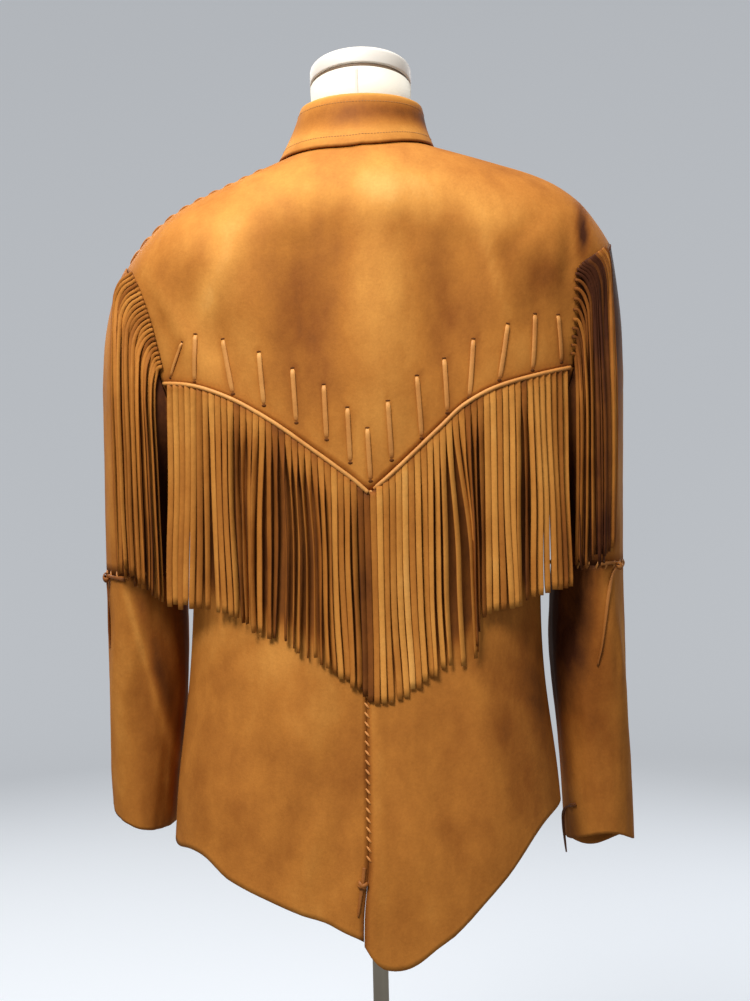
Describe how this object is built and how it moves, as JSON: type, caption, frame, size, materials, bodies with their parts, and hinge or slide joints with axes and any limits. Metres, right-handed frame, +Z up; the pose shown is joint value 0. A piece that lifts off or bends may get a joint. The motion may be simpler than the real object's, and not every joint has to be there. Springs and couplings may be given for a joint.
{
  "type": "fringed buckskin jacket on a dress form and stand",
  "caption": "Fringed leather jacket with a pointed back yoke, laced seams and a turned-down collar, on a limbless dress form and pole stand.",
  "frame": {"origin": "middle of the stand's underside, on the pole's axis", "axes": "+Z up along the pole; the wearer faces +Y, so the laced back faces -Y; +X is the wearer's right"},
  "size_m": [0.5456, 0.32, 1.5343],
  "materials": {
    "buckskin": "soft matt nap, tan",
    "lace": "cut thong, a little smoother than the cloth",
    "canvas": "cream cover cloth, matt",
    "cap": "off-white, smooth",
    "ring": "brown, in shadow",
    "steel": "satin",
    "button": "dark horn"
  },
  "bodies": {
    "root": {"back_left": "buckskin", "back_right": "buckskin", "button_1": "button", "button_2": "button", "button_3": "button", "button_4": "button", "button_5": "button", "collar_leaf": "buckskin", "collar_stand": "buckskin", "form_body": "canvas", "form_neck": "canvas", "fringe_armhole_left": "buckskin", "fringe_armhole_right": "buckskin", "fringe_yoke_left": "buckskin", "fringe_yoke_right": "buckskin", "front_left": "buckskin", "front_right": "buckskin", "lace_01": "lace", "lace_02": "lace", "lace_03": "lace", "lace_04": "lace", "lace_05": "lace", "lace_06": "lace", "lace_07": "lace", "lace_08": "lace", "lace_09": "lace", "lace_10": "lace", "lace_11": "lace", "lace_12": "lace", "lace_13": "lace", "lace_14": "lace", "lace_side": "lace", "neck_cap": "cap", "neck_ring": "ring", "sleeve_lower_left": "buckskin", "sleeve_lower_right": "buckskin", "sleeve_upper_left": "buckskin", "sleeve_upper_right": "buckskin", "stand_base": "steel", "stand_boss": "steel", "stand_flange": "steel", "stand_pole": "steel", "tie_cuff_right": "lace", "tie_elbow_left": "lace", "tie_elbow_right": "lace", "tie_vent": "lace", "welt_left": "lace", "welt_right": "lace", "yoke_back": "buckskin"}
  },
  "joints": []
}
